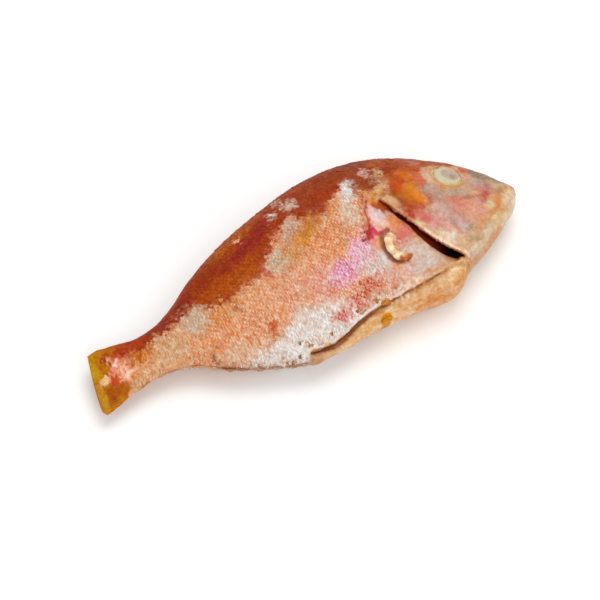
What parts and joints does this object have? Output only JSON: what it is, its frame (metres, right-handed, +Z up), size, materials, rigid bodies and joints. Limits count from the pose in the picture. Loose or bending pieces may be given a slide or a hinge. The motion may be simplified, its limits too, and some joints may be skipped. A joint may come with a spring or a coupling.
{
  "type": "whole raw fish",
  "caption": "Whole raw sea bream lying on its left flank, cleaned, with a cut belly, an open gill cover, a cloudy eye and fins trimmed to stubs.",
  "frame": {"origin": "on the table, under the middle of the bounding box", "axes": "+X runs from the tail to the snout, +Y from the belly to the back, +Z up out of the right flank; the fish lies on its left flank"},
  "size_m": [0.2867, 0.1115, 0.0455],
  "materials": {
    "skin": "moist scaled fish skin, orange-brown back, cream and pink flank, satin",
    "eye": "clouded cornea with a dull golden ring, glossy",
    "fin_base": "trimmed fleshy fin base, cream to orange, satin",
    "tail_web": "trimmed tail fin, ochre yellow, satin"
  },
  "bodies": {
    "root": {"body": "skin", "right_eye": "eye", "left_eye": "eye", "right_pectoral_fin": "fin_base", "left_pectoral_fin": "fin_base", "right_pelvic_fin": "fin_base", "left_pelvic_fin": "fin_base", "tail_fin": "tail_web"}
  },
  "joints": []
}
